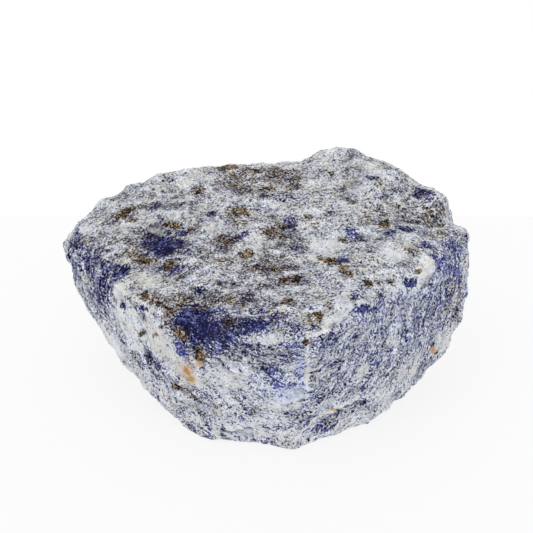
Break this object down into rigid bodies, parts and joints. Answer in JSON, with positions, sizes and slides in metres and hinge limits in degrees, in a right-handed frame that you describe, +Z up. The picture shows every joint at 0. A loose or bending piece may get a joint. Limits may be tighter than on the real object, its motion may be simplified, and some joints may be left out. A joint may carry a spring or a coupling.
{
  "type": "rough lapis lazuli stone",
  "caption": "Hand-sized rough piece of lapis lazuli in pale calcite rock, with a broad top, broken sides that draw in below, and a small flat spot to rest on.",
  "frame": {"origin": "centre of the stone's box, on the level of the flat spot that it rests on", "axes": "+X runs to the right along the stone's length, +Y away from the viewer of the picture, +Z up"},
  "size_m": [0.06, 0.0428, 0.0284],
  "materials": {
    "lapis_rock": "rough broken rock, dull"
  },
  "bodies": {
    "root": {"lapis_stone": "lapis_rock"}
  },
  "joints": []
}
